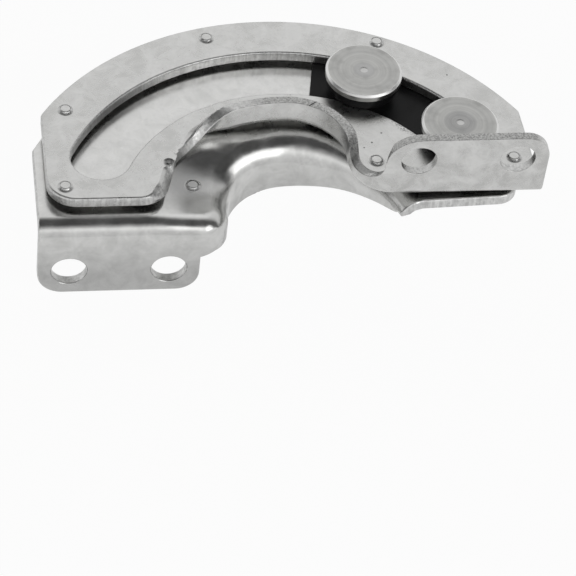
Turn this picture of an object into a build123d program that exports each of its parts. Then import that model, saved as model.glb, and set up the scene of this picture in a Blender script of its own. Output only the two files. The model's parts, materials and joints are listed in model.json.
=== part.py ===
from build123d import *
import os
from math import atan2, cos, degrees, hypot, radians, sin, sqrt, tan

# Crescent slot hinge: the door half swings about an axis in open air, on two pins in a curved slot.
# Millimetres. The origin is the middle of the frame half's two screw holes, on the face screwed down.
# +X runs along the flanges to the door side, +Y goes back under the crescent, +Z up the swing axis.
# Plan sizes are from the swing axis, and angles anticlockwise about it from +X, with the hinge closed.

# Sheet metal
sheet = 2.0
plate_gap = 1.0
frame_bend_inner = 1.5
arch_bend_inner = 4.0
door_bend_inner = 0.5
bend_strip = 1.2

# Top face of the frame plate, from the origin
frame_top = 11.0

# Curved slot of the door half, in which the pins' bushes run from stop to stop
orbit_radius = 37.65
slot_width = 10.9
swing = 89.0
stop_room = 0.4

# Door half, outline of the crescent
rim_land = 8.9
door_left = -44.0
door_right_inset = 0.8
door_rim_corner = 1.6
lobe_front = 6.0
lobe_corner = 5.4
lobe_heading = 73.0

# Door half, path of the outer face of its wall
arch_top_x = 0.4
arch_land = 6.8
arch_left_radius = 28.2
ramp_start_angle = 46.6
ramp_end_angle = 19.0
ramp_start_turn = 8.0
ramp_start_leg = 0.6
ramp_steps = 6
turn_run = 0.7
turn_radius = 8.0
door_face = 6.4

# Door half, heights above its own top face, and where along the turn they lie
wall_height = 4.0
wall_dip = 1.6
dip_start = -7.5
dip_bottom = -2.2
ear_side = 3.4
ear_shoulder = 6.0
door_flange_height = 12.4
door_flange_corner = 4.6
door_hole_height = 7.4
door_hole_middle = 30.9
door_hole_margin = 5.7

# Frame half, outline of the plate
frame_rim_inset = 1.5
frame_left = -45.8
frame_right = 42.1
frame_rim_cut = 2.9
frame_rim_cut_angle = 30.0
front_nub_reach = -0.7
front_nub_y = 5.1
front_knee_reach = 4.0
front_knee_y = 6.5
front_right_y = 7.3
front_corner = 4.0

# Frame half, path of the outer face of its skirt
frame_face = 1.5
skirt_corner_radius = 5.0
neck_run = 0.63
neck_centre_x = 1.5
arch_step = 5.2
skirt_arch_end = 6.0

# Frame half, depths below its own top face
frame_flange_tab = -0.1
frame_flange_depth = 16.5
frame_flange_left_corner = 4.6
frame_flange_right_corner = 4.2
notch_depth = 8.2
corner_depth = 7.3
arch_left_depth = 9.6
arch_middle_depth = 7.6
arch_middle_x = 11.0
arch_end_depth = 2.6
arch_end_slope = 1.8

# Screw holes, the same pattern in both flanges
hole_diameter = 6.4
hole_pitch = 18.0
frame_hole_margin = 5.6

# Guide pins
first_pin_angle = 64.6
second_pin_angle = 31.6
pin_head_overhang = 0.55
pin_head_thickness = 1.45
pin_head_chamfer = 0.25
pin_dimple_diameter = 1.6
pin_dimple_depth = 0.4
pin_dimple_taper = 45.0
pin_shank_diameter = 7.0
pin_spigot_diameter = 5.5
pin_tail_reach = 1.55
pin_tail_thickness = 1.2
pin_tail_chamfer = 0.4
pin_play = 0.03

# Flanged bushes on the pins' shanks, and the liner between the two plates
bush_flange_reach = 1.15
bush_flange_thickness = 2.25
bush_side_play = 0.25
slide_play = 0.1
liner_reach = 1.6
liner_left_angle = 79.2
liner_right_angle = 19.5
liner_corner = 0.8

# Half pierced buttons: raised above, dimpled below
button_diameter = 2.4
button_height = 0.4
button_taper = 30.0
# inside the rim and along it, then from the nearest edges or the centre of a round corner
rim_button_inset = 3.2
rim_button_angles = (143.9, 103.9)
right_rim_button_inset = 2.0
right_rim_button_angle = 65.7
lobe_button_inset = 3.3
right_button_x = 3.1
right_button_y = 7.9
turn_button_x = -2.6
turn_button_y = -0.3
frame_button_x = -1.1
frame_button_y = 5.2

# Heights that follow from the sheets and the gap
frame_under = frame_top - sheet
door_under = frame_top + plate_gap
door_top = door_under + sheet
liner_top = door_under - slide_play
flange_under = door_top + slide_play
head_under = flange_under + bush_flange_thickness

# Sizes shared by the bends, the slot and what slides in it
door_bend_outer = door_bend_inner + sheet
frame_bend_outer = frame_bend_inner + sheet
arch_bend_outer = arch_bend_inner + sheet
door_inset = door_bend_outer + bend_strip / 2
frame_inset = frame_bend_outer + bend_strip / 2
arch_inset = arch_bend_outer + bend_strip / 2
slot_inner_radius = orbit_radius - slot_width / 2
slot_outer_radius = orbit_radius + slot_width / 2
door_rim_radius = slot_outer_radius + rim_land
frame_rim_radius = door_rim_radius - frame_rim_inset
arch_top_y = slot_inner_radius - arch_land
arch_right_radius = arch_top_y - door_face - turn_radius - turn_run
skirt_arch_radius = arch_top_y - arch_step
bush_flange_diameter = slot_width + bush_flange_reach * 2
pin_head_diameter = bush_flange_diameter + pin_head_overhang * 2
pin_tail_diameter = pin_spigot_diameter + pin_tail_reach * 2
slot_left_angle = first_pin_angle + swing + stop_room
slot_right_angle = second_pin_angle - stop_room
pin_places = (first_pin_angle, second_pin_angle)
beyond = door_rim_radius * 2

# Frame skirt path: flange, corner, straight, neck arc, arch arc about the swing axis
corner_centre_y = frame_face + skirt_corner_radius
neck_centre_y = corner_centre_y + neck_run
neck_end_angle = degrees(atan2(neck_centre_y, neck_centre_x))
neck_turn = 180 - neck_end_angle
skirt_arch_turn = neck_end_angle - skirt_arch_end
skirt_neck_radius = skirt_arch_radius - hypot(neck_centre_x, neck_centre_y)
skirt_neck_x = neck_centre_x - skirt_neck_radius
skirt_arch_x = skirt_arch_radius * cos(radians(neck_end_angle))
skirt_arch_y = skirt_arch_radius * sin(radians(neck_end_angle))
skirt_arch_heading = neck_end_angle - 90
neck_middle_angle = 180 - neck_turn / 2
neck_middle_radius = skirt_neck_radius + (frame_inset + arch_inset) / 2
neck_middle_x = neck_centre_x + neck_middle_radius * cos(radians(neck_middle_angle))
neck_middle_y = neck_centre_y + neck_middle_radius * sin(radians(neck_middle_angle))
skirt_end_x = skirt_arch_radius * cos(radians(skirt_arch_end))
skirt_end_y = skirt_arch_radius * sin(radians(skirt_arch_end))
arch_middle_angle = (neck_end_angle + skirt_arch_end) / 2
corner_centre_x = skirt_neck_x - skirt_corner_radius
frame_flange_right = corner_centre_x + frame_flange_tab
front_nub_x = skirt_arch_radius + front_nub_reach
front_knee_x = skirt_arch_radius + front_knee_reach
front_start_x = front_nub_x - (front_knee_x - front_nub_x)
front_start_y = front_nub_y - (front_knee_y - front_nub_y)

# Swing axis from the origin
axis_x = hole_pitch / 2 + frame_hole_margin - frame_flange_right
axis_y = -frame_face


def plan(x, y):
    """A plan point given from the swing axis."""
    return (axis_x + x, axis_y + y)


def orbit(radius, angle):
    """A plan point at a radius and an angle about the swing axis."""
    return plan(radius * cos(radians(angle)), radius * sin(radians(angle)))


def upright(x, y, heading):
    """Upright plane across a heading, over a plan point of the door plate's top: x to its left, y up."""
    along = Vector(cos(radians(heading)), sin(radians(heading)), 0)
    left = Vector(-sin(radians(heading)), cos(radians(heading)), 0)
    return Plane(origin=(*plan(x, y), door_top), x_dir=left, z_dir=along)


def left_arch(angle):
    """A place on the left arc of the arch, at an angle before its top."""
    x = arch_top_x - arch_left_radius * sin(radians(angle))
    return (x, arch_left_centre_y + arch_left_radius * cos(radians(angle)))


def hanging(x, y, heading):
    """Upright plane across a heading, under a plan point of the frame plate: x to its left, y down."""
    along = Vector(cos(radians(heading)), sin(radians(heading)), 0)
    left = Vector(-sin(radians(heading)), cos(radians(heading)), 0)
    return Plane(origin=(*plan(x, y), frame_under), x_dir=left, z_dir=-along)


def bent_sheet(inner_radius, turn, leg):
    """Section of a sheet that comes in from the left of a bend line, turns up there and ends in a leg."""
    outer_radius = inner_radius + sheet
    reach = outer_radius * sin(radians(turn)) + leg * cos(radians(turn))
    strip = outer_radius + bend_strip

    def point(radius, angle, run):
        x = reach - radius * sin(radians(angle)) - run * cos(radians(angle))
        y = inner_radius - radius * cos(radians(angle)) + run * sin(radians(angle))
        return (x, y)

    outer = [point(outer_radius, angle, 0) for angle in (0, turn / 2, turn)]
    inner = [point(inner_radius, angle, 0) for angle in (turn, turn / 2, 0)]
    with BuildSketch() as section:
        with BuildLine():
            Line((strip, -sheet), outer[0])
            ThreePointArc(*outer)
            Polyline(outer[-1], point(outer_radius, turn, leg), point(inner_radius, turn, leg), inner[0])
            ThreePointArc(*inner)
            Polyline(inner[-1], (strip, 0), (strip, -sheet))
        make_face()
    return section.sketch


# Door wall path: ramp and left arch on one arc, right arch arc, short straight, turn into the flange
arch_left_centre_y = arch_top_y - arch_left_radius
arch_right_x = arch_top_x + arch_right_radius
turn_centre_x = arch_right_x + turn_radius
turn_centre_y = door_face + turn_radius
door_hole_left = door_hole_middle - hole_pitch / 2
door_flange_right = door_hole_middle + hole_pitch / 2 + door_hole_margin
door_right = door_flange_right - door_right_inset
door_buttons = [
    *(orbit(door_rim_radius - rim_button_inset, angle) for angle in rim_button_angles),
    orbit(door_rim_radius - right_rim_button_inset, right_rim_button_angle),
    plan(door_left + lobe_button_inset, lobe_front + lobe_button_inset),
    plan(door_right - right_button_x, door_face + right_button_y),
    plan(turn_centre_x + turn_button_x, turn_centre_y + turn_button_y),
]
frame_button = plan(corner_centre_x + frame_button_x, corner_centre_y + frame_button_y)


# Door half
with BuildPart() as door_plate:
    # the wall and the flange, at the flange's full height
    with BuildLine(Plane.XY.offset(door_top)):
        l1 = CenterArc(
            plan(arch_top_x, arch_left_centre_y), arch_left_radius, 90 + ramp_end_angle, -ramp_end_angle
        )
        l2 = JernArc(l1 @ 1, l1 % 1, radius=arch_right_radius, arc_size=-90)
        l3 = Line(l2 @ 1, plan(arch_right_x, turn_centre_y))
        l4 = JernArc(l3 @ 1, l3 % 1, radius=turn_radius, arc_size=90)
        l5 = Line(l4 @ 1, plan(door_flange_right, door_face))
    with BuildSketch(upright(*left_arch(ramp_end_angle), ramp_end_angle)):
        add(bent_sheet(door_bend_inner, 90, door_flange_height - door_bend_inner))
    sweep()
    # the wall's top edge, seen across the turn: level over the arch, a dip, then up the side of the ear
    turn_middle = (*plan(turn_centre_x, turn_centre_y), door_top)
    with BuildSketch(Plane(origin=turn_middle, x_dir=(1, -1, 0), z_dir=(-1, -1, 0))):
        with BuildLine():
            Line((-beyond, wall_height), (dip_start, wall_height))
            Spline((dip_start, wall_height), (dip_bottom, wall_dip), tangents=((1, 0), (1, 0)))
            Spline((dip_bottom, wall_dip), (ear_side, ear_shoulder), tangents=((1, 0), (0, 1)))
            Polyline(
                (ear_side, ear_shoulder), (ear_side, beyond), (-beyond, beyond), (-beyond, wall_height)
            )
        make_face()
    extrude(amount=beyond, both=True, mode=Mode.SUBTRACT)
    # the round shoulders of the flange
    with BuildSketch(Plane.XZ.offset(-axis_y)):
        ear_x = axis_x + door_hole_left
        ear_z = door_top + door_flange_height - door_hole_margin
        with BuildLine():
            l1 = CenterArc((ear_x, ear_z), door_hole_margin, 90, 90)
            Polyline(l1 @ 1, (ear_x - beyond, ear_z), (ear_x - beyond, ear_z + door_hole_margin), l1 @ 0)
        make_face()
        corner_x = axis_x + door_flange_right - door_flange_corner
        corner_z = door_top + door_flange_height - door_flange_corner
        with BuildLine():
            l1 = CenterArc((corner_x, corner_z), door_flange_corner, 0, 90)
            Polyline(l1 @ 1, (corner_x + door_flange_corner, corner_z + door_flange_corner), l1 @ 0)
        make_face()
    extrude(amount=-door_rim_radius, mode=Mode.SUBTRACT)
    # the ramp, where the edge of the arch turns up little by little
    for step in range(ramp_steps + 1):
        share = step / ramp_steps
        risen = share * share * (3 - 2 * share)
        turn = ramp_start_turn + (90 - ramp_start_turn) * risen
        leg = ramp_start_leg + (wall_height - door_bend_inner - ramp_start_leg) * risen
        angle = ramp_start_angle + (ramp_end_angle - ramp_start_angle) * share
        with BuildSketch(upright(*left_arch(angle), angle)):
            add(bent_sheet(door_bend_inner, turn, leg))
    loft()

    # the crescent, up to the strip that the wall's bend stands on
    with BuildSketch(Plane.XY.offset(door_under)):
        ramp_start_x, ramp_start_y = left_arch(ramp_start_angle)
        lobe_right = ramp_start_x - (ramp_start_y - lobe_front) / tan(radians(lobe_heading))
        rim_left = plan(door_left, sqrt(door_rim_radius**2 - door_left**2))
        rim_right = plan(door_right, sqrt(door_rim_radius**2 - door_right**2))
        with BuildLine():
            l1 = CenterArc(
                plan(arch_top_x, arch_left_centre_y),
                arch_left_radius + door_inset,
                90 + ramp_start_angle,
                -ramp_start_angle,
            )
            l2 = JernArc(l1 @ 1, l1 % 1, radius=arch_right_radius + door_inset, arc_size=-90)
            l3 = Line(l2 @ 1, plan(arch_right_x + door_inset, turn_centre_y))
            l4 = JernArc(l3 @ 1, l3 % 1, radius=turn_radius - door_inset, arc_size=90)
            l5 = Polyline(l4 @ 1, plan(door_flange_right, door_face + door_inset), rim_right)
            l6 = ThreePointArc(rim_right, orbit(door_rim_radius, 90), rim_left)
            l7 = Polyline(
                rim_left,
                plan(door_left, lobe_front),
                plan(lobe_right, lobe_front),
                plan(ramp_start_x, ramp_start_y),
                l1 @ 0,
            )
        make_face()
        fillet(vertices().group_by(Axis.Y)[0], radius=lobe_corner)
        fillet(vertices().sort_by_distance(rim_left)[0], radius=door_rim_corner)
        fillet(vertices().sort_by_distance(rim_right)[0], radius=door_rim_corner)
        slot_turn = slot_left_angle - slot_right_angle
        slot_path = CenterArc(plan(0, 0), orbit_radius, slot_right_angle, slot_turn, mode=Mode.PRIVATE)
        SlotArc(slot_path, slot_width, mode=Mode.SUBTRACT)
    extrude(amount=sheet)
    # screw holes
    flange_middle = (*plan(door_hole_middle, door_face), door_top + door_hole_height)
    with BuildSketch(Plane(origin=flange_middle, x_dir=(1, 0, 0), z_dir=(0, -1, 0))):
        with GridLocations(hole_pitch, hole_diameter, 2, 1):
            Circle(hole_diameter / 2)
    extrude(amount=-sheet, mode=Mode.SUBTRACT)
    # half pierced buttons
    with BuildSketch(Plane.XY.offset(door_under)):
        with Locations(*door_buttons):
            Circle(button_diameter / 2)
    extrude(amount=button_height, mode=Mode.SUBTRACT)
    with BuildSketch(Plane.XY.offset(door_top)):
        with Locations(*door_buttons):
            Circle(button_diameter / 2)
    extrude(amount=button_height, taper=button_taper)


# Frame half
with BuildPart() as frame_plate:
    # the skirt and the flange, at the flange's full depth
    with BuildLine(Plane.XY.offset(frame_top)):
        l1 = Line(plan(frame_left, frame_face), plan(corner_centre_x, frame_face))
        l2 = JernArc(l1 @ 1, l1 % 1, radius=skirt_corner_radius, arc_size=90)
        l3 = Line(l2 @ 1, plan(skirt_neck_x, neck_centre_y))
    with BuildSketch(hanging(frame_left, frame_face, 0)):
        add(bent_sheet(frame_bend_inner, 90, frame_flange_depth - frame_bend_outer))
    sweep()
    # its bend opens out along the neck and closes again along the arch
    with BuildLine(Plane.XY.offset(frame_top)):
        JernArc(plan(skirt_neck_x, neck_centre_y), (0, 1), radius=skirt_neck_radius, arc_size=-neck_turn)
    with BuildSketch(hanging(skirt_neck_x, neck_centre_y, 90)):
        add(bent_sheet(frame_bend_inner, 90, frame_flange_depth - frame_bend_outer))
    with BuildSketch(hanging(skirt_arch_x, skirt_arch_y, skirt_arch_heading)):
        add(bent_sheet(arch_bend_inner, 90, frame_flange_depth - arch_bend_outer))
    sweep(multisection=True)
    with BuildLine(Plane.XY.offset(frame_top)):
        CenterArc(plan(0, 0), skirt_arch_radius, neck_end_angle, -skirt_arch_turn)
    with BuildSketch(hanging(skirt_arch_x, skirt_arch_y, skirt_arch_heading)):
        add(bent_sheet(arch_bend_inner, 90, frame_flange_depth - arch_bend_outer))
    with BuildSketch(hanging(skirt_end_x, skirt_end_y, skirt_arch_end - 90)):
        add(bent_sheet(frame_bend_inner, 90, frame_flange_depth - frame_bend_outer))
    sweep(multisection=True)
    # its lower edge seen from the front: screw flange, notch, corner, arch
    deepest = frame_top - frame_flange_depth
    corner_x = axis_x + corner_centre_x + skirt_corner_radius / 2
    with BuildSketch(Plane.XZ.offset(-axis_y)):
        with BuildLine():
            left_x = axis_x + frame_left
            right_x = axis_x + frame_flange_right
            nub_x = axis_x + front_nub_x
            l1 = Line((left_x, deepest - sheet), (left_x, deepest + frame_flange_left_corner))
            left_corner = frame_flange_left_corner
            l2 = RadiusArc(l1 @ 1, (left_x + left_corner, deepest), -left_corner)
            right_corner = frame_flange_right_corner
            l3 = Line(l2 @ 1, (right_x - right_corner, deepest))
            l4 = RadiusArc(l3 @ 1, (right_x, deepest + right_corner), -right_corner)
            l5 = Line(l4 @ 1, (right_x, frame_top - notch_depth))
            l6 = Line(l5 @ 1, (corner_x, frame_top - corner_depth))
            l7 = Line(l6 @ 1, (corner_x, frame_top - arch_left_depth))
            l8 = Line(l7 @ 1, (axis_x, frame_top - arch_left_depth))
            l9 = Spline(
                l8 @ 1,
                (axis_x + arch_middle_x, frame_top - arch_middle_depth),
                (nub_x, frame_top - arch_end_depth),
                tangents=((1, 0), (1, arch_end_slope)),
            )
            cut_end_x = nub_x + frame_bend_outer * 2
            l10 = Polyline(
                l9 @ 1, (cut_end_x, frame_top - arch_end_depth), (cut_end_x, deepest - sheet), l1 @ 0
            )
        make_face()
    extrude(amount=-frame_rim_radius, mode=Mode.SUBTRACT)
    # the same edge seen from the side, where it drops from the corner into the arch
    with BuildSketch(Plane.YZ.offset(corner_x)):
        with BuildLine():
            corner_z = frame_top - corner_depth
            drop_end_y = axis_y + neck_centre_y + skirt_neck_radius / 2
            l1 = Line((0, corner_z), (axis_y + corner_centre_y, corner_z))
            l2 = Spline(l1 @ 1, (drop_end_y, frame_top - arch_left_depth), tangents=((1, 0), (1, 0)))
            l3 = Polyline(l2 @ 1, (drop_end_y, deepest - sheet), (0, deepest - sheet), l1 @ 0)
        make_face()
    extrude(amount=skirt_neck_radius, mode=Mode.SUBTRACT)
    # the crescent, up to the strip that the skirt's bend hangs from
    with BuildSketch(Plane.XY.offset(frame_under)):
        rim_right = plan(frame_right, sqrt(frame_rim_radius**2 - frame_right**2))
        rim_left_x = frame_left + frame_rim_cut * sin(radians(frame_rim_cut_angle))
        rim_left = plan(rim_left_x, sqrt(frame_rim_radius**2 - rim_left_x**2))
        with BuildLine():
            bend_line_y = frame_face + frame_inset
            l1 = Line(plan(frame_left, bend_line_y), plan(corner_centre_x, bend_line_y))
            l2 = JernArc(l1 @ 1, l1 % 1, radius=skirt_corner_radius - frame_inset, arc_size=90)
            l3 = Line(l2 @ 1, plan(skirt_neck_x - frame_inset, neck_centre_y))
            arch_start = orbit(skirt_arch_radius + arch_inset, neck_end_angle)
            arch_middle = orbit(skirt_arch_radius + (arch_inset + frame_inset) / 2, arch_middle_angle)
            arch_end = orbit(skirt_arch_radius + frame_inset, skirt_arch_end)
            l4 = ThreePointArc(l3 @ 1, plan(neck_middle_x, neck_middle_y), arch_start)
            l5 = ThreePointArc(arch_start, arch_middle, arch_end)
            knee = plan(front_knee_x, front_knee_y)
            l6 = Polyline(arch_end, knee, plan(frame_right, front_right_y), rim_right)
            l7 = ThreePointArc(rim_right, orbit(frame_rim_radius, 90), rim_left)
            l8 = Polyline(
                rim_left,
                plan(frame_left, rim_left[1] - axis_y - frame_rim_cut * cos(radians(frame_rim_cut_angle))),
                l1 @ 0,
            )
        make_face()
        fillet(vertices().sort_by_distance(plan(frame_right, front_right_y))[0], radius=front_corner)
    extrude(amount=sheet)
    # the front edge runs out of the arch in a pointed nub
    with BuildSketch(Plane.XY.offset(frame_top)):
        with BuildLine():
            Polyline(
                plan(front_start_x, front_start_y),
                plan(front_knee_x, front_knee_y),
                plan(frame_right, front_right_y),
                plan(frame_right, 0),
                plan(front_start_x, 0),
                close=True,
            )
        make_face()
    extrude(amount=-frame_flange_depth, mode=Mode.SUBTRACT)
    # screw holes
    with BuildSketch(Plane.XZ):
        with GridLocations(hole_pitch, hole_diameter, 2, 1):
            Circle(hole_diameter / 2)
    extrude(amount=-sheet, mode=Mode.SUBTRACT)
    # holes for the pins' spigots
    with BuildSketch(Plane.XY.offset(frame_under)):
        with Locations(*(orbit(orbit_radius, angle) for angle in pin_places)):
            Circle(pin_spigot_diameter / 2 + pin_play)
    extrude(amount=sheet, mode=Mode.SUBTRACT)
    # half pierced button
    with BuildSketch(Plane.XY.offset(frame_under)):
        with Locations(frame_button):
            Circle(button_diameter / 2)
    extrude(amount=button_height, mode=Mode.SUBTRACT)
    with BuildSketch(Plane.XY.offset(frame_top)):
        with Locations(frame_button):
            Circle(button_diameter / 2)
    extrude(amount=button_height, taper=button_taper)


# Guide pins: head, shank down to a shoulder on the frame plate, spigot through it and riveted tail
def guide_pin(angle):
    """A guide pin on its place in the orbit."""
    centre = orbit(orbit_radius, angle)
    with BuildPart() as pin:
        with BuildSketch(Plane(origin=(*centre, head_under))):
            Circle(pin_head_diameter / 2)
        extrude(amount=pin_head_thickness)
        chamfer(edges().group_by(Axis.Z)[-1], length=pin_head_chamfer)
        with BuildSketch(Plane(origin=(*centre, head_under + pin_head_thickness))):
            Circle(pin_dimple_diameter / 2)
        extrude(amount=-pin_dimple_depth, taper=pin_dimple_taper, mode=Mode.SUBTRACT)
        with BuildSketch(Plane(origin=(*centre, frame_top))):
            Circle(pin_shank_diameter / 2)
        extrude(amount=head_under - frame_top)
        with BuildSketch(Plane(origin=(*centre, frame_under))):
            Circle(pin_spigot_diameter / 2)
        extrude(amount=sheet)
        with BuildSketch(Plane(origin=(*centre, frame_under - pin_tail_thickness))):
            Circle(pin_tail_diameter / 2)
        extrude(amount=pin_tail_thickness)
        chamfer(edges().group_by(Axis.Z)[0], length=pin_tail_chamfer)
    return pin.part


def pin_bush(angle):
    """A flanged bush on the guide pin at that angle: flange on the door plate, body in the slot."""
    centre = orbit(orbit_radius, angle)
    with BuildPart() as bush:
        with BuildSketch(Plane(origin=(*centre, liner_top))):
            Circle(slot_width / 2 - bush_side_play)
        extrude(amount=flange_under - liner_top)
        with BuildSketch(Plane(origin=(*centre, flange_under))):
            Circle(bush_flange_diameter / 2)
        extrude(amount=bush_flange_thickness)
        with BuildSketch(Plane(origin=(*centre, liner_top))):
            Circle(pin_shank_diameter / 2 + pin_play)
        extrude(amount=head_under - liner_top, mode=Mode.SUBTRACT)
    return bush.part


# Liner between the two plates, under both bushes and wider than the slot
with BuildPart() as glide_liner:
    with BuildSketch(Plane.XY.offset(frame_top)):
        with BuildLine():
            liner_turn = liner_left_angle - liner_right_angle
            l1 = CenterArc(plan(0, 0), slot_inner_radius - liner_reach, liner_right_angle, liner_turn)
            l2 = CenterArc(plan(0, 0), slot_outer_radius + liner_reach, liner_right_angle, liner_turn)
            Line(l1 @ 0, l2 @ 0)
            Line(l1 @ 1, l2 @ 1)
        make_face()
        fillet(vertices(), radius=liner_corner)
        with Locations(*(orbit(orbit_radius, angle) for angle in pin_places)):
            Circle(pin_shank_diameter / 2 + pin_play, mode=Mode.SUBTRACT)
    extrude(amount=liner_top - frame_top)


pieces = {
    "frame_plate": frame_plate.part,
    "door_plate": door_plate.part,
    "first_guide_pin": guide_pin(first_pin_angle),
    "second_guide_pin": guide_pin(second_pin_angle),
    "first_pin_bush": pin_bush(first_pin_angle),
    "second_pin_bush": pin_bush(second_pin_angle),
    "glide_liner": glide_liner.part,
}
os.makedirs("parts", exist_ok=True)
for label, piece in pieces.items():
    piece.label = label
    export_step(piece, f"parts/{label}.step")
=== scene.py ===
import bmesh
import bpy
import json
from math import atan, atan2, cos, pi, radians, sin, tan
from mathutils import Matrix, Vector


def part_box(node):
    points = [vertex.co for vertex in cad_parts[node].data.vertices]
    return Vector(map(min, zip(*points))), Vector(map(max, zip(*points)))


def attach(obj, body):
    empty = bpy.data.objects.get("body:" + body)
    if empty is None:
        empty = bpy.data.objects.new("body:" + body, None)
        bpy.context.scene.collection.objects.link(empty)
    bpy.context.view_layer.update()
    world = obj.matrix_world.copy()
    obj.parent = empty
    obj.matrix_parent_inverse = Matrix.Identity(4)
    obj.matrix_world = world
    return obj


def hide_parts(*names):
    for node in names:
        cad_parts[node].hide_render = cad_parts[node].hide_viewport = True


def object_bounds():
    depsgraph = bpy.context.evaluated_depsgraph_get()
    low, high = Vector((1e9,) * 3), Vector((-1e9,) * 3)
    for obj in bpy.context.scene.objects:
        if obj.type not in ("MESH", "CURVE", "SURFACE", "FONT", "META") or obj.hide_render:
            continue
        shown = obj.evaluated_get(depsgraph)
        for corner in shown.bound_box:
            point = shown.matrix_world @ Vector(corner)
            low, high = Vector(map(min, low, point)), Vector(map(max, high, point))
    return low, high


# Slotted crescent hinge of pressed zinc plated steel: two plates, two turned pins, nylon bushes and a liner.
# Metres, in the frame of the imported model: +X along the flanges, +Y back under the crescent, +Z up.
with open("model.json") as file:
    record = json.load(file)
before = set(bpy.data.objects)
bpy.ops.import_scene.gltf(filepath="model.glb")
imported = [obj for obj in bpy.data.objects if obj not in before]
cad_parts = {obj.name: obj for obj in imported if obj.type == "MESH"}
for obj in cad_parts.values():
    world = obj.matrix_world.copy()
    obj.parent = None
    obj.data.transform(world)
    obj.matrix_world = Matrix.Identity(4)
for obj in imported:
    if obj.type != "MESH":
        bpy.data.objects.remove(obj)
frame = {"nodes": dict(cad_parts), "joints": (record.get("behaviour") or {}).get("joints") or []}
cad_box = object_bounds()

# The door half swings about this axis in open air
swing_axis = Vector(frame["joints"][0]["pos_m"])

MM = 0.001

# What counts as one point, as flat, as level, as a fold and as a sliver in the meshes
MERGE_REACH = 0.001 * MM
SPIN_MERGE_REACH = 0.0005 * MM
FLAT_LIMIT = radians(0.5)
LEVEL_LIMIT = 0.999
FOLD_LIMIT = radians(30)
SLIVER = 0.002 * MM

# How far large faces win over small ones in the smooth normals: 50 is even, 100 the most
LARGE_FACE_WEIGHT = 100

# Rounding of the cut edges: rolled over on top of a sheet, sharper underneath
ROLLED_EDGE = 0.45 * MM
BURR_EDGE = 0.14 * MM
BUTTON_EDGE = 0.21 * MM
LINER_EDGE = 0.12 * MM
SHEET_EDGE_STEPS = 3
LINER_EDGE_STEPS = 2

# Heights of the sheets, pins and bushes, from the frame plate's screw holes
TAIL_UNDER = 7.8 * MM
FRAME_UNDER = 9.0 * MM
FRAME_TOP = 11.0 * MM
LINER_TOP = 11.9 * MM
DOOR_TOP = 14.0 * MM
FLANGE_UNDER = 14.1 * MM
HEAD_UNDER = 16.35 * MM
HEAD_TOP = 17.8 * MM

# How far the half pierced buttons stand above their plate, at least and at most
BUTTON_RISE = (0.3 * MM, 0.5 * MM)

# Radii of the pins and bushes
HEAD_RADIUS = 7.15 * MM
HEAD_CHAMFER = 0.38 * MM
SHANK_RADIUS = 3.5 * MM
SPIGOT_RADIUS = 2.75 * MM
TAIL_RADIUS = 4.3 * MM
DIMPLE_RADIUS = 0.80 * MM
DIMPLE_FLOOR_RADIUS = DIMPLE_RADIUS * 0.7
DIMPLE_DEPTH = 0.05 * MM
BORE_RADIUS = 3.53 * MM
BUSH_RADIUS = 5.2 * MM
FLANGE_RADIUS = 6.6 * MM

# Roundings of the pins and bushes
DIMPLE_ROUND = 0.2 * MM
HEAD_CHAMFER_ROUND = 0.08 * MM
HEAD_UNDER_ROUND = 0.12 * MM
TAIL_SEAT_ROUND = 0.1 * MM
TAIL_ROUND = 0.55 * MM
BUSH_FOOT_ROUND = 0.15 * MM
FLANGE_UNDER_ROUND = 0.2 * MM
FLANGE_TOP_ROUND = 0.3 * MM
SPIN_STEPS = 160
ROUND_STEPS = 5

# Duller zone in the middle of each pin's head: radius and brightness
MIDDLE_PIN_ZONE = (1.9 * MM, 0.44)
RIGHT_PIN_ZONE = (3.0 * MM, 0.33)

# The painted highlight on the corner of a pin's head fades in between these radii and between these heights
PAINTED_HIGHLIGHT_OUT = (HEAD_RADIUS - 0.5 * MM, HEAD_RADIUS - 0.4 * MM)
PAINTED_HIGHLIGHT_UP = (HEAD_TOP - 0.6 * MM, HEAD_TOP - 0.4 * MM)

# Marks on the door plate. Here and below a place is in millimetres: plan from the swing axis, height from the
# frame plate's screw holes. The radius of a spot is in millimetres too.
TOOL_MARK = (-21.7, 14.8, 14.0)
TOOL_MARK_RADIUS = 0.85
TOOL_MARK_CORE = 0.55
# How much painted shade darkens the tool mark's dent
TOOL_MARK_PAINTED_SHADE_SHARE = 0.72
TOOL_MARK_DEPTH = 0.25 * MM
LAND_PITS = (
    ((18.0, 21.2, 14.0), 0.16),
    ((15.9, 18.8, 14.0), 0.17),
    ((14.3, 17.5, 14.0), 0.14),
    ((32.7, 36.3, 14.0), 0.15),
)
LAND_SCUFF = (22.2, 22.6, 14.0)
LAND_SCUFF_RADIUS = 0.8
LAND_SCUFF_STRETCH = (0.29, 1.0, 1.0)
LAND_SCUFF_TURN = radians(-43)
ARCH_SLIT = (5.34, 25.06, 18.0)
ARCH_SLIT_RADIUS = 0.13
ARCH_SLIT_STRETCH = (0.12, 1.0, 1.0)
ARCH_SLIT_TURN = radians(34)
ARCH_CHATTER = ((15.6, 9.8, 17.0), (12.6, 10.8, 17.4))
CHATTER_RADIUS = 2.6

# Cut edges that face up and show the torn side of the shear: the top of the door flange, the right part of
# the arch's wall and the side of the ear
TORN_FLANGE_HEIGHT = (25.7 * MM, 26.0 * MM)
TORN_WALL_HEIGHT = (14.8 * MM, 15.6 * MM)
TORN_WALL_BACK = (7.2 * MM, 7.8 * MM)
TORN_WALL_RIGHT = (23.0 * MM, 28.0 * MM)
TORN_EAR = (19.6, 7.4, 22.6)
TORN_EAR_RADIUS = 4.6
TORN_SHARE = 0.85
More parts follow.
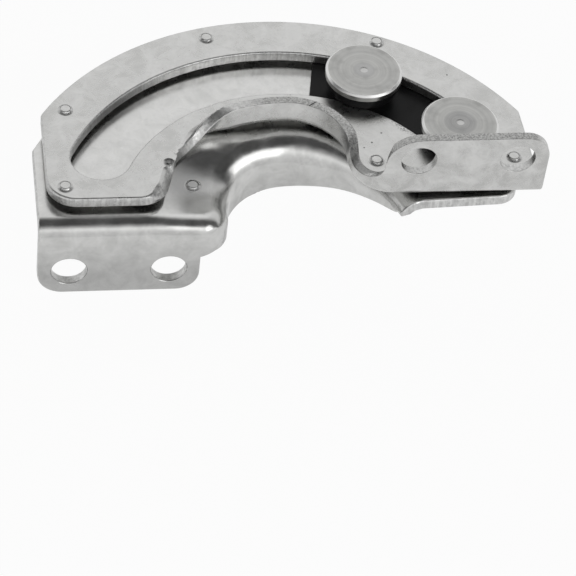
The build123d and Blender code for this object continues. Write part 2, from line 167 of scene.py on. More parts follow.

# The frame plate dips a little all round its neck, by bump alone, and has painted shade beside the lobe and
# down its flange, the latter darker towards the flange's foot
DIP = (-13.5, 12.0, 11.0)
DIP_RADIUS = 15.0 * MM
DIP_DEPTH = 3.1 * MM
PLAN_ONLY = (1, 1, 0.001)
# Painted shade on the frame plate beside the lobe: place, radius and how much it darkens
LOBE_PAINTED_SHADE = (-18.8, 14.2, 11.0)
LOBE_PAINTED_SHADE_RADIUS = 6.6
LOBE_PAINTED_SHADE_SHARE = 0.6
# Painted shade down the frame plate's flange, darker towards its foot: heights and how much it darkens
FLANGE_PAINTED_SHADE_HEIGHT = (-1.0 * MM, 8.0 * MM)
FLANGE_PAINTED_SHADE_SHARE = 0.36

# The ramp's first step is too small to round off
RAMP_START = (-20.1, 16.6, 14.0)
RAMP_START_ROOM = 1.3 * MM

# Right side of the door plate's lobe, rolled over much further: from the start of its round corner, whose
# centre is given in plan, along the straight side up to the ramp. The roll grows over its first stretch and
# fades between two distances from its end. The slacks are for points that lie just outside the rounded edge.
LOBE_CORNER = (-27.32, 11.4)
LOBE_CORNER_RADIUS = 5.4 * MM
LOBE_HEADING = radians(73.0)
LOBE_SIDE_LENGTH = 7.06 * MM
LOBE_SIDE_LEAST = LOBE_SIDE_LENGTH * 0.9
LOBE_SIDE_CUTS = 13
LOBE_ROLL = 1.75 * MM
LOBE_ROLL_FLATNESS = 1.6
LOBE_ROLL_RISE = 5.0 * MM
LOBE_ROLL_END = (4.0 * MM, 2.0 * MM)
ROLL_OUTER_SLACK = 0.05 * MM
ROLL_INNER_SLACK = 0.02 * MM

# Colours
SATIN_LIGHT = (0.70, 0.70, 0.69)
SATIN_DARK = (0.53, 0.53, 0.52)
DRAWN_LIGHT = (0.71, 0.71, 0.70)
DRAWN_DARK = (0.58, 0.58, 0.57)
# Grey of the painted shade on the frame plate
DRAWN_PAINTED_SHADE = (0.2, 0.2, 0.2)
SHEARED_LIGHT = (0.74, 0.74, 0.73)
SHEARED_DARK = (0.50, 0.50, 0.495)
TORN_LIGHT = (0.56, 0.56, 0.55)
TORN_DARK = (0.24, 0.24, 0.235)
# Black of the pits and scuff, and of the painted shade in the tool mark's dent
PIT_AND_PAINTED_SHADE_BLACK = (0.07, 0.07, 0.07)
SLIT_BLACK = (0.05, 0.05, 0.05)
TURNED_LIGHT = (0.53, 0.53, 0.515)
TURNED_DARK = (0.45, 0.45, 0.44)
TURNED_PATCH = (0.38, 0.38, 0.37)
DIMPLE_BRIGHT = (0.60, 0.60, 0.59)
# Painted highlight on the corner of a pin's head
CORNER_PAINTED_HIGHLIGHT = (0.82, 0.82, 0.81)
NYLON_LIGHT = (0.012, 0.012, 0.0125)
NYLON_DARK = (0.005, 0.005, 0.0055)
FLOOR_GREY = (0.8, 0.8, 0.8)
WHITE = (1, 1, 1)

# Metal or not, strength of the nylon's sheen, and the least and greatest roughness of each surface
METAL = 1.0
PLASTIC = 0.0
NYLON_SHEEN = 0.17
SATIN_ROUGHNESS = (0.22, 0.36)
DRAWN_ROUGHNESS = (0.17, 0.27)
SHEARED_ROUGHNESS = (0.26, 0.42)
TURNED_ROUGHNESS = (0.30, 0.40)
NYLON_ROUGHNESS = (0.30, 0.46)

# Noise patterns, in cells per metre
CLOUD_SCALE = 260
SPECK_SCALE = 1500
SCUFF_SCALE = 2600
ROLLING_LINES = (90, 2600, 2600)
ROLLING_TURN = 0.35
SHEARED_COARSE_SCALE = 900
SHEARED_FINE_SCALE = 3200
SHEAR_LINES = (1900, 1900, 160)
RING_SCALE = 3600
WIDE_RING_SCALE = 1300
PATCH_SCALE = 360
SMEAR_SCALE = 240
NYLON_GRAIN_SCALE = 2400

# The span of a pattern's values over which one tone goes over into another
NOISE_SPAN = (0.3, 0.7)
CLOUD_SPAN = (0.35, 0.62)
SPECK_SPAN = (0.30, 0.42)
SCUFF_SPAN = (0.45, 0.6)
SHEARED_SPAN = (0.8, 1.2)
TORN_SPAN = (0.4, 0.6)
CHATTER_SPAN = (0.46, 0.56)
WIDE_RING_SPAN = (0.35, 0.65)
PATCH_SPAN = (0.5, 0.72)
ZONE_RING_SPAN = (0.3, 0.6)

# How much of its tone a pattern brings in, and the fade of a pin's duller zone as parts of its radius
SPECK_SHARE = 0.35
SCUFF_SHARE = 0.7
CHATTER_SHARE = 0.75
PATCH_SHARE = 0.55
ZONE_RING_SHARE = (1.0, 0.45)
ZONE_FADE = (0.9, 1.05)

# Depths of the grain, and how much its wider lines count
SATIN_GRAIN = 0.012 * MM
DRAWN_GRAIN = 0.005 * MM
SHEARED_GRAIN = 0.05 * MM
TURNED_GRAIN = 0.016 * MM
NYLON_GRAIN = 0.01 * MM
ROLLING_HEIGHT = 0.5
WIDE_RING_HEIGHT = 1.5

# Floor, and how much of it shows as plain white to the camera and to mirrors
FLOOR_RADIUS = 3.0
FLOOR_SIDES = 96
FLOOR_DROP = 0.1 * MM
FLOOR_SEEN = 0.95
FLOOR_MIRRORED = 0.66

# Brightness of the surroundings, from the horizon behind (0) up over the hinge to the horizon in front (1)
STUDIO_STOPS = (
    (0.0, 0.78),
    (0.16, 0.84),
    (0.27, 0.80),
    (0.34, 0.45),
    (0.40, 0.09),
    (0.61, 0.07),
    (0.69, 0.50),
    (0.765, 1.15),
    (0.85, 0.80),
    (1.0, 0.66),
)

# Camera, as the photograph was taken; the aim stands above the picture's middle by a share of its height
AIM = Vector((0.03133, 0.01579, 0.0140))
AZIMUTH = radians(12.0)
ELEVATION = radians(44.5)
ROLL = radians(7.3)
CAMERA_DISTANCE = 0.500
LENS = 171.9
SENSOR = 36.0
AIM_ROW_OFFSET = 138 / 576
CLIP_RANGE = (0.01, 20.0)


def axis_place(place):
    """A point in metres, from a place in millimetres about the swing axis."""
    x, y, z = place
    return (swing_axis.x + x * MM, swing_axis.y + y * MM, z * MM)


class NodeTree:
    """Short calls that add nodes to a tree. A value is a number, vector, colour or another node's output."""

    def __init__(self, owner):
        owner.use_nodes = True
        self.nodes = owner.node_tree.nodes
        self.links = owner.node_tree.links
        self.nodes.clear()

    def feed(self, socket, value):
        """Sets an input to a value, or links it to another node's output."""
        if isinstance(value, bpy.types.NodeSocket):
            self.links.new(value, socket)
        elif socket.type == "RGBA":
            socket.default_value = (*value, 1)
        else:
            socket.default_value = value

    def compute(self, operation, first, second):
        """Two numbers put together by a Math node."""
        node = self.nodes.new("ShaderNodeMath")
        node.operation = operation
        self.feed(node.inputs[0], first)
        self.feed(node.inputs[1], second)
        return node.outputs["Value"]

    def remap(self, value, span, to_span=(0, 1), interpolation="LINEAR"):
        """Spreads a number from one range to another and holds it there."""
        node = self.nodes.new("ShaderNodeMapRange")
        node.interpolation_type = interpolation
        self.feed(node.inputs["From Min"], span[0])
        self.feed(node.inputs["From Max"], span[1])
        self.feed(node.inputs["To Min"], to_span[0])
        self.feed(node.inputs["To Max"], to_span[1])
        self.feed(node.inputs["Value"], value)
        return node.outputs["Result"]

    def part(self, vector, axis):
        """One coordinate of a vector."""
        node = self.nodes.new("ShaderNodeSeparateXYZ")
        self.feed(node.inputs["Vector"], vector)
        return node.outputs[axis]


class Material(NodeTree):
    """A node material with a Principled shader on its output."""

    def __init__(self, name, metallic):
        self.material = bpy.data.materials.new(name)
        super().__init__(self.material)
        output = self.nodes.new("ShaderNodeOutputMaterial")
        self.shader = self.nodes.new("ShaderNodeBsdfPrincipled")
        self.feed(output.inputs["Surface"], self.shader.outputs["BSDF"])
        self.feed(self.shader.inputs["Metallic"], metallic)

    def set_colour(self, colour):
        """Gives the surface its colour."""
        self.feed(self.shader.inputs["Base Color"], colour)

    def set_roughness(self, roughness):
        """Gives the surface its roughness."""
        self.feed(self.shader.inputs["Roughness"], roughness)

    def place(self, stretch=(1, 1, 1), centre=(0, 0, 0), turn=0.0):
        """Object coordinates, centred, turned about Z and stretched for a pattern."""
        coordinates = self.nodes.new("ShaderNodeTexCoord")
        mapping = self.nodes.new("ShaderNodeMapping")
        mapping.vector_type = "TEXTURE"
        self.feed(mapping.inputs["Location"], centre)
        self.feed(mapping.inputs["Rotation"], (0, 0, turn))
        self.feed(mapping.inputs["Scale"], tuple(1 / share for share in stretch))
        self.feed(mapping.inputs["Vector"], coordinates.outputs["Object"])
        return mapping.outputs["Vector"]

    def noise(self, vector, scale, detail=3.0, roughness=0.5, distortion=0.0):
        """A noise pattern; scale is in cells per metre."""
        node = self.nodes.new("ShaderNodeTexNoise")
        self.feed(node.inputs["Scale"], scale)
        self.feed(node.inputs["Detail"], detail)
        self.feed(node.inputs["Roughness"], roughness)
        self.feed(node.inputs["Distortion"], distortion)
        self.feed(node.inputs["Vector"], vector)
        return node.outputs["Fac"]

    def blend(self, share, first, second):
        """A colour between two, by a share."""
        node = self.nodes.new("ShaderNodeMix")
        node.data_type = "RGBA"
        self.feed(node.inputs["Factor"], share)
        self.feed(node.inputs["A"], first)
        self.feed(node.inputs["B"], second)
        return node.outputs["Result"]

    def length(self, vector):
        """How long a vector is."""
        node = self.nodes.new("ShaderNodeVectorMath")
        node.operation = "LENGTH"
        self.feed(node.inputs[0], vector)
        return node.outputs["Value"]

    def most(self, shares):
        """The largest of several shares."""
        result = shares[0]
        for share in shares[1:]:
            result = self.compute("MAXIMUM", result, share)
        return result

    def spot(self, place, radius, softness, stretch=(1, 1, 1), turn=0.0):
        """1 in a spot about a place, 0 outside it; place and radius are in millimetres."""
        distance = self.length(self.place(stretch, axis_place(place), turn))
        return self.remap(distance, (radius * MM * (1 - softness), radius * MM * (1 + softness)), (1, 0))

    def bump(self, height, depth, under=None):
        """Bump from a height pattern, on top of earlier bump if there is any; depth is in metres."""
        node = self.nodes.new("ShaderNodeBump")
        self.feed(node.inputs["Distance"], depth)
        self.feed(node.inputs["Height"], height)
        if under is not None:
            self.feed(node.inputs["Normal"], under)
        self.feed(self.shader.inputs["Normal"], node.outputs["Normal"])
        return node.outputs["Normal"]


def zinc_plating(name, light, dark, roughness_span, grain_depth, offset):
    """Bright zinc plating over rolled sheet, cloudy, finely lined and pitted, with its colour and bump."""
    zinc = Material(name, METAL)
    place = zinc.place(centre=(offset, offset, offset))
    cloud = zinc.noise(place, CLOUD_SCALE, detail=5, roughness=0.66, distortion=0.4)
    speck = zinc.noise(place, SPECK_SCALE, roughness=0.6)
    lines = zinc.noise(zinc.place(ROLLING_LINES, turn=ROLLING_TURN), 1.0, detail=2)
    colour = zinc.blend(zinc.remap(cloud, CLOUD_SPAN), dark, light)
    colour = zinc.blend(zinc.remap(speck, SPECK_SPAN, (SPECK_SHARE, 0)), colour, dark)
    zinc.set_roughness(zinc.remap(cloud, NOISE_SPAN, roughness_span))
    grain = zinc.compute("ADD", zinc.compute("MULTIPLY", lines, ROLLING_HEIGHT), speck)
    return zinc, colour, zinc.bump(grain, grain_depth)


def door_sheet_material():
    """The door plate's zinc with a round tool mark where the arch's edge starts to rise, darkened by painted
    shade in its dent, and a few pits.
    """
    zinc, colour, grain = zinc_plating(
        "zinc_plate_satin", SATIN_LIGHT, SATIN_DARK, SATIN_ROUGHNESS, SATIN_GRAIN, offset=0.0
    )
    pits = zinc.most([zinc.spot(place, radius, softness=0.3) for place, radius in LAND_PITS])
    mark = zinc.spot(TOOL_MARK, TOOL_MARK_RADIUS, softness=0.25)
    core = zinc.spot(TOOL_MARK, TOOL_MARK_RADIUS * TOOL_MARK_CORE, softness=0.4)
    scuff = zinc.spot(LAND_SCUFF, LAND_SCUFF_RADIUS, 0.4, LAND_SCUFF_STRETCH, LAND_SCUFF_TURN)
    chatter = zinc.noise(zinc.place(), SCUFF_SCALE, roughness=0.6)
    scuff = zinc.compute("MULTIPLY", scuff, zinc.remap(chatter, SCUFF_SPAN, (0, SCUFF_SHARE)))
    # Pits and scuff are real marks; the darkening over the tool mark is painted shade in its dent
    marks_and_dent_shade = zinc.most([pits, zinc.compute("MULTIPLY", mark, TOOL_MARK_PAINTED_SHADE_SHARE), scuff])
    zinc.set_colour(zinc.blend(marks_and_dent_shade, colour, PIT_AND_PAINTED_SHADE_BLACK))
    dent = zinc.compute("SUBTRACT", core, mark)
    zinc.bump(dent, TOOL_MARK_DEPTH, under=grain)
    return zinc.material


def frame_sheet_material():
    """The frame plate's zinc, smoother from drawing: dipping towards the neck, with painted shade beside the
    lobe and down the flange.
    """
    zinc, colour, grain = zinc_plating(
        "zinc_plate_drawn", DRAWN_LIGHT, DRAWN_DARK, DRAWN_ROUGHNESS, DRAWN_GRAIN, offset=0.3
    )
    distance = zinc.length(zinc.place(PLAN_ONLY, axis_place(DIP)))
    slope = zinc.remap(distance, (0, DIP_RADIUS), interpolation="SMOOTHSTEP")
    zinc.bump(slope, DIP_DEPTH, under=grain)
    # Painted shade down the flange, darker towards its foot
    flange_painted_shade = zinc.remap(zinc.part(zinc.place(), "Z"), FLANGE_PAINTED_SHADE_HEIGHT, (FLANGE_PAINTED_SHADE_SHARE, 0))
    # Painted shade beside the lobe
    shade = zinc.spot(LOBE_PAINTED_SHADE, LOBE_PAINTED_SHADE_RADIUS, softness=0.5)
    colour = zinc.blend(zinc.compute("MULTIPLY", shade, LOBE_PAINTED_SHADE_SHARE), colour, DRAWN_PAINTED_SHADE)
    zinc.set_colour(zinc.blend(flange_painted_shade, colour, DRAWN_PAINTED_SHADE))
    return zinc.material


def sheared_edge_material():
    """The sheet's cut edge: bright upright shear lines, torn where it faces up, with a slit on the arch."""
    steel = Material("sheared_steel_edge", METAL)
    place = steel.place()
    coarse = steel.noise(place, SHEARED_COARSE_SCALE, detail=4, roughness=0.65)
    fine = steel.noise(place, SHEARED_FINE_SCALE, roughness=0.6)
    lines = steel.noise(steel.place(SHEAR_LINES), 1.0, roughness=0.6)
    tone = steel.remap(steel.compute("ADD", coarse, lines), SHEARED_SPAN)
    colour = steel.blend(tone, SHEARED_DARK, SHEARED_LIGHT)

    flange = steel.remap(steel.part(place, "Z"), TORN_FLANGE_HEIGHT)
    wall_high = steel.remap(steel.part(place, "Z"), TORN_WALL_HEIGHT)
    wall_back = steel.remap(steel.part(place, "Y"), TORN_WALL_BACK)
    wall_right = steel.remap(steel.part(place, "X"), TORN_WALL_RIGHT)
    wall = steel.compute("MULTIPLY", wall_high, steel.compute("MULTIPLY", wall_back, wall_right))
    ear = steel.spot(TORN_EAR, TORN_EAR_RADIUS, softness=0.3)
    torn_share = steel.compute("MULTIPLY", steel.most([flange, ear, wall]), TORN_SHARE)
    torn = steel.blend(steel.remap(fine, TORN_SPAN), TORN_DARK, TORN_LIGHT)
    colour = steel.blend(torn_share, colour, torn)

    slit = steel.spot(ARCH_SLIT, ARCH_SLIT_RADIUS, 0.3, ARCH_SLIT_STRETCH, ARCH_SLIT_TURN)
    crests = steel.most([steel.spot(crest, CHATTER_RADIUS, softness=0.4) for crest in ARCH_CHATTER])
    chatter = steel.compute("MULTIPLY", crests, steel.remap(fine, CHATTER_SPAN, (0, CHATTER_SHARE)))
    steel.set_colour(steel.blend(steel.most([slit, chatter]), colour, SLIT_BLACK))
    steel.set_roughness(steel.remap(fine, NOISE_SPAN, SHEARED_ROUGHNESS))
    steel.bump(steel.compute("ADD", coarse, steel.compute("ADD", fine, lines)), SHEARED_GRAIN)
    return steel.material


def turned_steel_material(name, centre, zone_radius, zone_brightness):
    """Turned steel: fine rings about a pin's own centre, a duller zone in the middle and a painted highlight
    on the head's corner.
    """
    steel = Material(name, METAL)
    place = steel.place(centre=(centre.x, centre.y, 0))
    flat = steel.nodes.new("ShaderNodeVectorMath")
    flat.operation = "MULTIPLY"
    steel.feed(flat.inputs[0], place)
    steel.feed(flat.inputs[1], (1, 1, 0))
    radius = steel.length(flat.outputs["Vector"])
    line = steel.nodes.new("ShaderNodeCombineXYZ")
    steel.feed(line.inputs["X"], radius)
    rings = steel.noise(line.outputs["Vector"], RING_SCALE, roughness=0.6)
    wide_rings = steel.noise(line.outputs["Vector"], WIDE_RING_SCALE, detail=2)
    patches = steel.noise(place, PATCH_SCALE, detail=4, roughness=0.6)

    colour = steel.blend(steel.remap(wide_rings, WIDE_RING_SPAN), TURNED_DARK, TURNED_LIGHT)
    colour = steel.blend(steel.remap(patches, PATCH_SPAN, (0, PATCH_SHARE)), colour, TURNED_PATCH)
    zone = steel.remap(radius, [zone_radius * share for share in ZONE_FADE], (1, 0))
    zone = steel.compute("MULTIPLY", zone, steel.remap(rings, ZONE_RING_SPAN, ZONE_RING_SHARE))
    colour = steel.blend(zone, colour, (zone_brightness, zone_brightness, zone_brightness))
    dimple = steel.remap(radius, (DIMPLE_FLOOR_RADIUS, DIMPLE_RADIUS), (1, 0))
    colour = steel.blend(dimple, colour, DIMPLE_BRIGHT)
    # Painted highlight on the corner of the head
    outer = steel.remap(radius, PAINTED_HIGHLIGHT_OUT)
    upper = steel.remap(steel.part(place, "Z"), PAINTED_HIGHLIGHT_UP)
    steel.set_colour(steel.blend(steel.compute("MULTIPLY", outer, upper), colour, CORNER_PAINTED_HIGHLIGHT))
    steel.set_roughness(steel.remap(patches, NOISE_SPAN, TURNED_ROUGHNESS))
    grain = steel.compute("ADD", steel.compute("MULTIPLY", wide_rings, WIDE_RING_HEIGHT), rings)
    steel.bump(grain, TURNED_GRAIN)
    return steel.material


def black_nylon_material():
    """Moulded black nylon with a soft sheen and a faint grain."""
    nylon = Material("moulded_black_nylon", PLASTIC)
    nylon.feed(nylon.shader.inputs["Specular IOR Level"], NYLON_SHEEN)
    place = nylon.place()
    smear = nylon.noise(place, SMEAR_SCALE)
    nylon.set_colour(nylon.blend(nylon.remap(smear, NOISE_SPAN), NYLON_DARK, NYLON_LIGHT))
    nylon.set_roughness(nylon.remap(smear, NOISE_SPAN, NYLON_ROUGHNESS))
    nylon.bump(nylon.noise(place, NYLON_GRAIN_SCALE, roughness=0.6), NYLON_GRAIN)
    return nylon.material


def is_soft(edge):
    """Whether two faces run on over an edge, flat or in a bend."""
    return edge.calc_face_angle(pi) < FOLD_LIMIT


def is_sharp(edge):
    """Whether two faces meet at an edge in a fold."""
    return edge.calc_face_angle(0) > FOLD_LIMIT


def finish_piece(name, shape, materials, body, node):
    """Makes a shown piece of a finished bmesh: it stands for a CAD node and rides on its body."""
    for edge in shape.edges:
        edge.smooth = is_soft(edge)
    for face in shape.faces:
        face.smooth = True
    mesh = bpy.data.meshes.new(name)
    shape.to_mesh(mesh)
    shape.free()
    piece = bpy.data.objects.new(name, mesh)
    bpy.context.scene.collection.objects.link(piece)
    for material in materials:
        mesh.materials.append(material)
    normals = piece.modifiers.new("flat_faces_stay_flat", "WEIGHTED_NORMAL")
    normals.keep_sharp = True
    normals.weight = LARGE_FACE_WEIGHT
    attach(piece, body)
    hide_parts(node)


def merged_copy(node):
    """The mesh of a CAD node with its loose triangles merged and its flat faces joined."""
    shape = bmesh.new()
    shape.from_mesh(frame["nodes"][node].data)
    bmesh.ops.remove_doubles(shape, verts=shape.verts, dist=MERGE_REACH)
    bmesh.ops.dissolve_limit(shape, angle_limit=FLAT_LIMIT, verts=shape.verts, edges=shape.edges)
    shape.normal_update()
    return shape


def soften(shape, edges, width, steps=SHEET_EDGE_STEPS):
    """Rounds off edges; their new faces take the nearest material."""
    bmesh.ops.bevel(
        shape,
        geom=edges,
        offset=width,
        offset_type="OFFSET",
        segments=steps,
        profile=0.5,
        affect="EDGES",
        clamp_overlap=False,
        material=-1,
    )


def smooth_shell(seed):
    """The faces that run on from a seed face over flats and bends, up to the sheet's cut edges."""
    found = {seed}
    front = [seed]
    while front:
        for edge in front.pop().edges:
            if is_soft(edge):
                new = [face for face in edge.link_faces if face not in found]
                found.update(new)
                front.extend(new)
    return found


def shell_rims(shape, shell, cones):
    """The folds along one shell of a sheet, without the buttons' and those at the ramp's start."""
    ramp_start = Vector(axis_place(RAMP_START))
    return [
        edge
        for edge in shape.edges
        if is_sharp(edge)
        and len([face for face in edge.link_faces if face in shell]) == 1
        and not any(face in cones for face in edge.link_faces)
        and ((edge.verts[0].co + edge.verts[1].co) / 2 - ramp_start).xy.length > RAMP_START_ROOM
    ]


def ease(value, low, high):
    """0 below a range, 1 above it, with a soft rise between."""
    share = min(max((value - low) / (high - low), 0), 1)
    return share * share * (3 - 2 * share)


def lobe_side_place(point):
    """Where a point lies on the lobe's right side: run along it, inset from it, plan direction inwards."""
    x, y = LOBE_CORNER
    local = point.xy - Vector((swing_axis.x + x * MM, swing_axis.y + y * MM))
    angle = atan2(local.y, local.x) + pi / 2
    if 0 <= angle <= LOBE_HEADING:
        return angle * LOBE_CORNER_RADIUS, LOBE_CORNER_RADIUS - local.length, -local.normalized()
    along = Vector((cos(LOBE_HEADING), sin(LOBE_HEADING)))
    outward = Vector((along.y, -along.x))
    run = LOBE_CORNER_RADIUS * LOBE_HEADING + local.dot(along)
    return run, LOBE_CORNER_RADIUS - local.dot(outward), -outward


def cut_lobe_side(shape):
    """Cuts the straight part of the lobe's upper right edge into short pieces, so that its roll can grow."""
    side = []
    for edge in shape.edges:
        places = [lobe_side_place(vertex.co) for vertex in edge.verts]
        on_top = all(abs(vertex.co.z - DOOR_TOP) < BURR_EDGE for vertex in edge.verts)
        on_side = all(run > 0 and abs(inset) < BURR_EDGE for run, inset, inward in places)
        if on_top and on_side and edge.calc_length() > LOBE_SIDE_LEAST:
            side.append(edge)
    bmesh.ops.subdivide_edges(shape, edges=side, cuts=LOBE_SIDE_CUTS)


def widen_lobe_roll(shape):
    """Widens the rolled edge of the lobe's right side into a rounded slant, softly at both ends."""
    length = LOBE_CORNER_RADIUS * LOBE_HEADING + LOBE_SIDE_LENGTH
    fade_start, fade_end = LOBE_ROLL_END

    def spread(reach, growth):
        share = min(max(reach / ROLLED_EDGE, 0), 1)
        wide = LOBE_ROLL * (1 - (1 - share) ** LOBE_ROLL_FLATNESS)
        return (wide - reach) * growth

    for vertex in shape.verts:
        run, inset, inward = lobe_side_place(vertex.co)
        depth = DOOR_TOP - vertex.co.z
        outer, inner = min(inset, depth), max(inset, depth)
        in_strip = outer > -ROLL_OUTER_SLACK and inner < ROLLED_EDGE + ROLL_INNER_SLACK
        if in_strip and 0 < run < length:
            growth = ease(run, 0, LOBE_ROLL_RISE) * (1 - ease(run, length - fade_start, length - fade_end))
            vertex.co += Vector((*(inward * spread(inset, growth)), -spread(depth, growth)))


def pressed_sheet(node, name, body, face_material, edge_material):
    """A pressed plate: a CAD sheet with its cut edges rounded, rolled over on top and sharper underneath."""
    shape = merged_copy(node)
    if node == "door_plate":
        cut_lobe_side(shape)
    facing_up = [face for face in shape.faces if face.normal.z > LEVEL_LIMIT]
    facing_down = [face for face in shape.faces if face.normal.z < -LEVEL_LIMIT]
    top = max(facing_up, key=lambda face: face.calc_area())
    upper = smooth_shell(top)
    lower = smooth_shell(max(facing_down, key=lambda face: face.calc_area()))

    plate_height = top.calc_center_median().z
    least, greatest = BUTTON_RISE
    buttons = [face for face in facing_up if least < face.calc_center_median().z - plate_height < greatest]
    cones = {other for face in buttons for edge in face.edges for other in edge.link_faces}
    for face in shape.faces:
        face.material_index = 0 if face in upper or face in lower or face in cones else 1

    button_rims = [
        edge for edge in shape.edges if is_sharp(edge) and any(face in cones for face in edge.link_faces)
    ]
    upper_rims, lower_rims = (shell_rims(shape, shell, cones) for shell in (upper, lower))
    soften(shape, button_rims, BUTTON_EDGE)
    soften(shape, upper_rims, ROLLED_EDGE)
    soften(shape, [edge for edge in lower_rims if edge.is_valid], BURR_EDGE)
    if node == "door_plate":
        widen_lobe_roll(shape)
    bmesh.ops.dissolve_degenerate(shape, edges=shape.edges, dist=SLIVER)
    finish_piece(name, shape, (face_material, edge_material), body, node)


def rounded_outline(corners):
    """A profile whose corners (radius out, height, rounding) are rounded off where a rounding is given."""
    points = []
    for index, (out, height, rounding) in enumerate(corners):
        corner = Vector((out, height))
        if not rounding:
            points.append(corner)
            continue
        before = (Vector(corners[index - 1][:2]) - corner).normalized()
        after = (Vector(corners[(index + 1) % len(corners)][:2]) - corner).normalized()
        half = before.angle(after) / 2
        centre = corner + (before + after).normalized() * (rounding / sin(half))
        first = (corner + before * (rounding / tan(half)) - centre).normalized()
        last = (corner + after * (rounding / tan(half)) - centre).normalized()
        for step in range(ROUND_STEPS + 1):
            points.append(centre + first.slerp(last, step / ROUND_STEPS) * rounding)
    return points


def node_centre(node):
    """The middle of a CAD node's box."""
    low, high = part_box(node)
    return (low + high) / 2


def spun_piece(name, node, outline, closed, material):
    """A round piece: a profile spun about the upright centre line of its CAD node."""
    centre = node_centre(node)
    shape = bmesh.new()
    ring = [shape.verts.new((centre.x + out, centre.y, height)) for out, height in outline]
    ends = ring[1:] + ring[:1] if closed else ring[1:]
    lines = [shape.edges.new(pair) for pair in zip(ring, ends)]
    bmesh.ops.spin(
        shape,
        geom=ring + lines,
        cent=(centre.x, centre.y, 0),
        axis=(0, 0, 1),
        angle=2 * pi,
        steps=SPIN_STEPS,
        use_merge=True,
        use_duplicate=False,
    )
    bmesh.ops.remove_doubles(shape, verts=shape.verts, dist=SPIN_MERGE_REACH)
    bmesh.ops.recalc_face_normals(shape, faces=shape.faces)
    finish_piece(name, shape, (material,), "frame_half", node)


def guide_pin(node, name, zone):
    """A turned pin: thin wide head, shank, shoulder on the frame plate, spigot and riveted tail."""
    outline = rounded_outline(
        (
            (0, HEAD_TOP - DIMPLE_DEPTH, 0),
            (DIMPLE_FLOOR_RADIUS, HEAD_TOP - DIMPLE_DEPTH, DIMPLE_ROUND),
            (DIMPLE_RADIUS, HEAD_TOP, DIMPLE_ROUND),
            (HEAD_RADIUS - HEAD_CHAMFER, HEAD_TOP, HEAD_CHAMFER_ROUND),
            (HEAD_RADIUS, HEAD_TOP - HEAD_CHAMFER, HEAD_CHAMFER_ROUND),
            (HEAD_RADIUS, HEAD_UNDER, HEAD_UNDER_ROUND),
            (SHANK_RADIUS, HEAD_UNDER, 0),
            (SHANK_RADIUS, FRAME_TOP, 0),
            (SPIGOT_RADIUS, FRAME_TOP, 0),
            (SPIGOT_RADIUS, FRAME_UNDER, 0),
            (TAIL_RADIUS, FRAME_UNDER, TAIL_SEAT_ROUND),
            (TAIL_RADIUS, TAIL_UNDER, TAIL_ROUND),
            (0, TAIL_UNDER, 0),
        )
    )
    material = turned_steel_material("turned_" + name, node_centre(node), *zone)
    spun_piece(name, node, outline, closed=False, material=material)


def pin_bush(node, name, material):
    """A flanged nylon bush: flange on the door plate, body in the slot."""
    outline = rounded_outline(
        (
            (BORE_RADIUS, LINER_TOP, 0),
            (BUSH_RADIUS, LINER_TOP, BUSH_FOOT_ROUND),
            (BUSH_RADIUS, FLANGE_UNDER, 0),
            (FLANGE_RADIUS, FLANGE_UNDER, FLANGE_UNDER_ROUND),
            (FLANGE_RADIUS, HEAD_UNDER, FLANGE_TOP_ROUND),
            (BORE_RADIUS, HEAD_UNDER, 0),
        )
    )
    spun_piece(name, node, outline, closed=True, material=material)


def liner_sheet(node, name, material):
    """The flat nylon liner with its edges taken off."""
    shape = merged_copy(node)
    soften(shape, [edge for edge in shape.edges if is_sharp(edge)], LINER_EDGE, LINER_EDGE_STEPS)
    finish_piece(name, shape, (material,), "frame_half", node)


def pale_floor():
    """A wide plain floor that reads white but keeps the object's shadow."""
    shape = bmesh.new()
    bmesh.ops.create_circle(shape, cap_ends=True, segments=FLOOR_SIDES, radius=FLOOR_RADIUS)
    bmesh.ops.translate(shape, verts=shape.verts, vec=(AIM.x, AIM.y, cad_box[0].z - FLOOR_DROP))
    mesh = bpy.data.meshes.new("floor")
    shape.to_mesh(mesh)
    shape.free()
    floor = bpy.data.objects.new("floor", mesh)
    bpy.context.scene.collection.objects.link(floor)
    material = bpy.data.materials.new("pale_floor")
    tree = NodeTree(material)
    matte = tree.nodes.new("ShaderNodeBsdfDiffuse")
    tree.feed(matte.inputs["Color"], FLOOR_GREY)
    white = tree.nodes.new("ShaderNodeEmission")
    tree.feed(white.inputs["Color"], WHITE)
    path = tree.nodes.new("ShaderNodeLightPath")
    seen = tree.compute("MAXIMUM", path.outputs["Is Camera Ray"], path.outputs["Is Transmission Ray"])
    seen = tree.compute("MULTIPLY", seen, FLOOR_SEEN)
    mirrored = tree.compute("MULTIPLY", path.outputs["Is Glossy Ray"], FLOOR_MIRRORED)
    mix = tree.nodes.new("ShaderNodeMixShader")
    tree.feed(mix.inputs["Fac"], tree.compute("MAXIMUM", seen, mirrored))
    tree.feed(mix.inputs[1], matte.outputs["BSDF"])
    tree.feed(mix.inputs[2], white.outputs["Emission"])
    output = tree.nodes.new("ShaderNodeOutputMaterial")
    tree.feed(output.inputs["Surface"], mix.outputs["Shader"])
    mesh.materials.append(material)


def studio_world():
    """Soft surroundings: light behind and in front, dark overhead."""
    world = bpy.data.worlds.new("studio")
    bpy.context.scene.world = world
    tree = NodeTree(world)
    direction = tree.nodes.new("ShaderNodeTexCoord").outputs["Generated"]
    around = tree.compute("ARCTAN2", tree.part(direction, "Z"), tree.part(direction, "Y"))
    ramp = tree.nodes.new("ShaderNodeValToRGB")
    tree.feed(ramp.inputs["Fac"], tree.remap(around, (0, pi)))
    stops = ramp.color_ramp.elements
    for place, brightness in STUDIO_STOPS[1:-1]:
        stops.new(place)
    for stop, (place, brightness) in zip(stops, STUDIO_STOPS):
        stop.position = place
        stop.color = (brightness, brightness, brightness, 1)
    background = tree.nodes.new("ShaderNodeBackground")
    tree.feed(background.inputs["Color"], ramp.outputs["Color"])
    output = tree.nodes.new("ShaderNodeOutputWorld")
    tree.feed(output.inputs["Surface"], background.outputs["Background"])


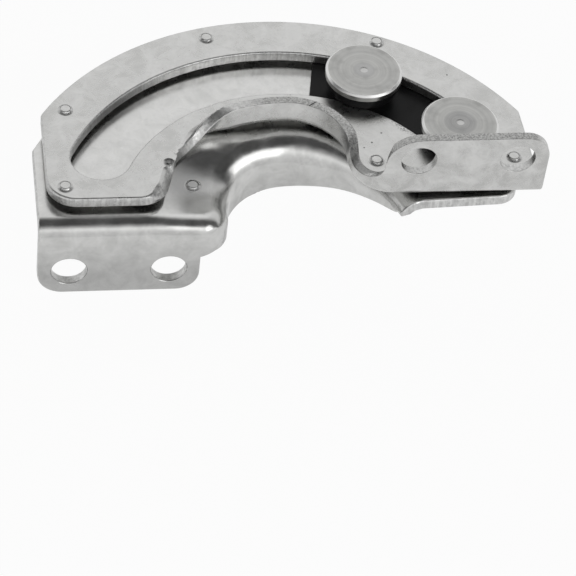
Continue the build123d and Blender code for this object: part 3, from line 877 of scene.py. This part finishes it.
def soft_light(name, place, width, height, brightness):
    """A soft box that faces the hinge; at brightness 1 it shows as white in a mirror."""
    lamp = bpy.data.lights.new(name, "AREA")
    lamp.shape = "RECTANGLE"
    lamp.size = width
    lamp.size_y = height
    lamp.energy = brightness * pi * width * height
    light = bpy.data.objects.new(name, lamp)
    light.location = place
    light.rotation_euler = (AIM - Vector(place)).to_track_quat("-Z", "Y").to_euler()
    bpy.context.scene.collection.objects.link(light)


def photo_camera():
    """The camera that took the photograph: far off, turned and rolled, aimed so that the hinge sits high."""
    forward = Vector((sin(AZIMUTH) * cos(ELEVATION), cos(AZIMUTH) * cos(ELEVATION), -sin(ELEVATION)))
    level = Vector((cos(AZIMUTH), -sin(AZIMUTH), 0))
    upright = level.cross(forward)
    right = level * cos(ROLL) + upright * sin(ROLL)
    up = upright * cos(ROLL) - level * sin(ROLL)
    dip = atan(AIM_ROW_OFFSET * SENSOR / LENS)
    axis = forward * cos(dip) - up * sin(dip)
    top = up * cos(dip) + forward * sin(dip)
    turn = Matrix((right, top, -axis)).transposed().to_4x4()
    data = bpy.data.cameras.new("photo_camera")
    data.lens = LENS
    data.sensor_width = SENSOR
    data.clip_start, data.clip_end = CLIP_RANGE
    camera = bpy.data.objects.new("photo_camera", data)
    camera.matrix_world = Matrix.Translation(AIM - forward * CAMERA_DISTANCE) @ turn
    bpy.context.scene.collection.objects.link(camera)
    bpy.context.scene.camera = camera


sheared = sheared_edge_material()
nylon = black_nylon_material()

pressed_sheet("door_plate", "door_crescent", "door_half", door_sheet_material(), sheared)
pressed_sheet("frame_plate", "frame_crescent", "frame_half", frame_sheet_material(), sheared)
guide_pin("first_guide_pin", "middle_pin", MIDDLE_PIN_ZONE)
guide_pin("second_guide_pin", "right_pin", RIGHT_PIN_ZONE)
pin_bush("first_pin_bush", "middle_bush", nylon)
pin_bush("second_pin_bush", "right_bush", nylon)
liner_sheet("glide_liner", "slide_liner", nylon)

pale_floor()
studio_world()
soft_light("back_soft_box", (0.03, 0.75, 0.70), width=0.9, height=0.5, brightness=0.16)
soft_light("right_soft_box", (0.58, -0.48, 0.62), width=0.55, height=0.50, brightness=1.2)
photo_camera()
bpy.context.scene.view_settings.view_transform = "Standard"
